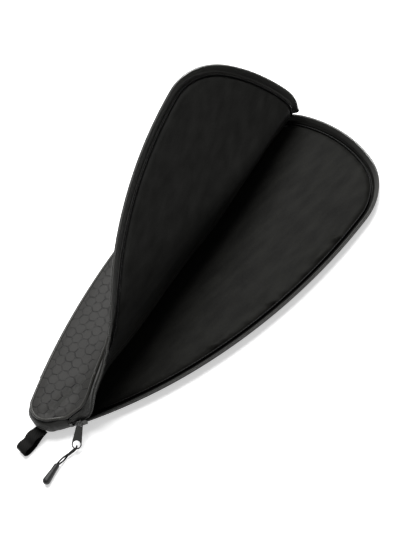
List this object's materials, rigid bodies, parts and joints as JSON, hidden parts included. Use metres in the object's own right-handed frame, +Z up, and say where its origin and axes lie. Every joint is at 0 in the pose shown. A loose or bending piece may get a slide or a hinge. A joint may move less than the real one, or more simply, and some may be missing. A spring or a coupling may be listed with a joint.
{
  "type": "padded paddle case",
  "caption": "Padded teardrop case for a paddle, lying open on its back, with a zip round flanks and head, a folded front panel, a corded slider pull and a hanging loop.",
  "frame": {"origin": "on the back face, midway between the tail and the head", "axes": "+Z up out of the back face, +Y from the tail to the head, +X to the right"},
  "size_m": [0.2171, 0.4725, 0.1194],
  "materials": {
    "outer_cloth": "matte, honeycomb embossed",
    "pad_foam": "matte, closed cell",
    "lining_cloth": "matte, fine knit",
    "piping_cloth": "satin",
    "side_cloth": "matte, plain weave",
    "zip_tape": "matte, woven",
    "zip_coil": "satin",
    "binding_tape": "matte, ribbed",
    "webbing": "matte, woven",
    "slider_metal": "satin lacquer",
    "cord": "braided",
    "grip_rubber": "satin"
  },
  "bodies": {
    "case_back": {"back_panel": "outer_cloth", "back_foam": "pad_foam", "back_lining": "lining_cloth", "back_piping": "piping_cloth", "back_side_wall": "side_cloth", "back_side_lining": "lining_cloth", "back_zip_tape": "zip_tape", "back_zip_coil": "zip_coil", "back_seam_binding": "binding_tape", "tail_gusset": "side_cloth", "zip_end_stops": "zip_coil", "spine_panel": "outer_cloth", "spine_foam": "pad_foam", "spine_lining": "lining_cloth", "spine_piping": "piping_cloth", "spine_side_wall": "side_cloth", "spine_zip_tape": "zip_tape", "spine_zip_coil": "zip_coil", "spine_seam_binding": "binding_tape"},
    "front_fold": {"fold_panel": "outer_cloth", "fold_foam": "pad_foam", "fold_lining": "lining_cloth", "fold_piping": "piping_cloth", "fold_side_wall": "side_cloth", "fold_zip_tape": "zip_tape", "fold_zip_coil": "zip_coil", "fold_seam_binding": "binding_tape"},
    "front_flap": {"flap_panel": "outer_cloth", "flap_foam": "pad_foam", "flap_lining": "lining_cloth", "flap_piping": "piping_cloth", "flap_side_wall": "side_cloth", "flap_zip_tape": "zip_tape", "flap_zip_coil": "zip_coil", "flap_seam_binding": "binding_tape"},
    "zip_slider": {"zip_slider": "slider_metal"},
    "pull_tab": {"pull_tab": "slider_metal"},
    "cord_pull": {"pull_cord": "cord", "pull_grip": "grip_rubber"},
    "hang_loop": {"hanging_loop": "webbing"}
  },
  "joints": [
    {"name": "first_fold", "type": "hinge", "parent": "case_back", "child": "front_fold", "pos_m": [0.0216, -0.184, 0.025], "axis": [-0.1737, 0.9848, 0], "range_deg": [0, 72]},
    {"name": "second_fold", "type": "hinge", "parent": "front_fold", "child": "front_flap", "pos_m": [0.01565, -0.0657, 0.07021], "axis": [-0.2158, 0.9667, -0.1373], "range_deg": [0, 72]},
    {"name": "slider_run", "type": "slide", "parent": "case_back", "child": "zip_slider", "axis": [0.4749, 0.88, 0], "range_m": [0, 0.03]},
    {"name": "tab_swing", "type": "hinge", "parent": "zip_slider", "child": "pull_tab", "pos_m": [0.03455, -0.1875, 0.0176], "axis": [-0.7288, -0.5875, 0.3517], "range_deg": [0, 90]},
    {"name": "cord_swing", "type": "hinge", "parent": "pull_tab", "child": "cord_pull", "pos_m": [0.0448, -0.2073, 0.0057], "axis": [0, 0, 1], "range_deg": [-30, 30]},
    {"name": "loop_lift", "type": "hinge", "parent": "case_back", "child": "hang_loop", "pos_m": [0.0015, -0.2195, 0.0078], "axis": [-1, 0, 0], "range_deg": [0, 90]}
  ],
  "couplings": [
    {"joint": "second_fold", "follows": "first_fold", "ratio": 1}
  ]
}
